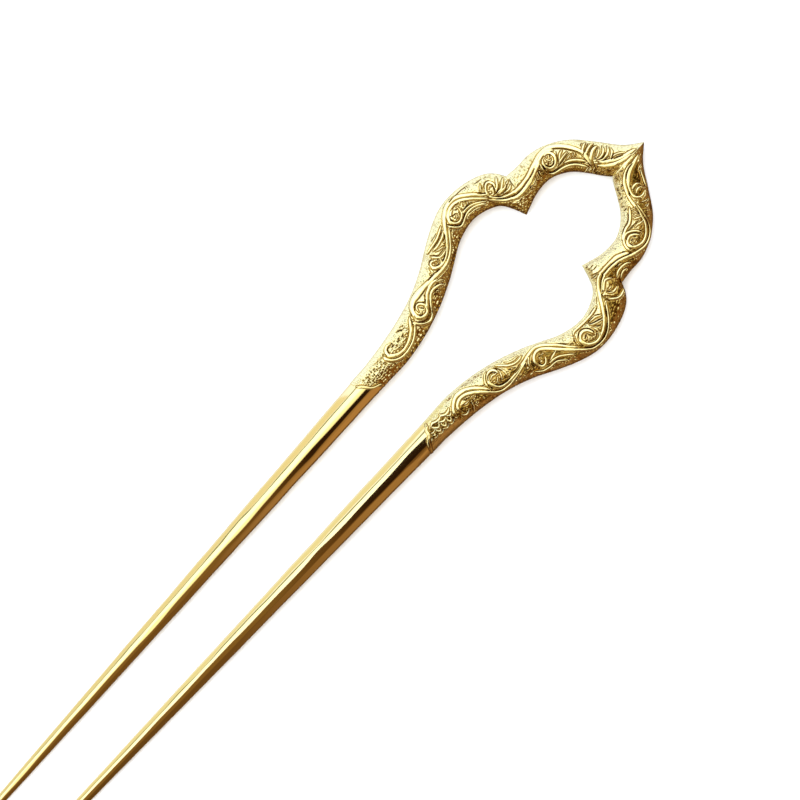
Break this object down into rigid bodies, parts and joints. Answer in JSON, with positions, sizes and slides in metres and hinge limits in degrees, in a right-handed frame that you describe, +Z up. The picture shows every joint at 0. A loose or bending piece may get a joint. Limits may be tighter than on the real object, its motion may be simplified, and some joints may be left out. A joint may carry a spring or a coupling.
{
  "type": "u-shaped hairpin",
  "caption": "U-shaped metal hairpin: an open lobed head frame with scroll relief that meets in a point, and two long round tapering prongs that hold a bun or twist of hair.",
  "frame": {"origin": "below the middle of the bounding box, on the surface that the hairpin lies on", "axes": "+Y along the hairpin from the prong tips to the point of the head, +X across it to the right seen from above, +Z up out of the ornamented front"},
  "size_m": [0.0322, 0.145, 0.0045],
  "materials": {
    "gold_plate": "polished gold plate on a cast zinc alloy, bright on the prongs and the relief, darker in the punched ground between the scrolls"
  },
  "bodies": {
    "root": {"hairpin": "gold_plate"}
  },
  "joints": []
}
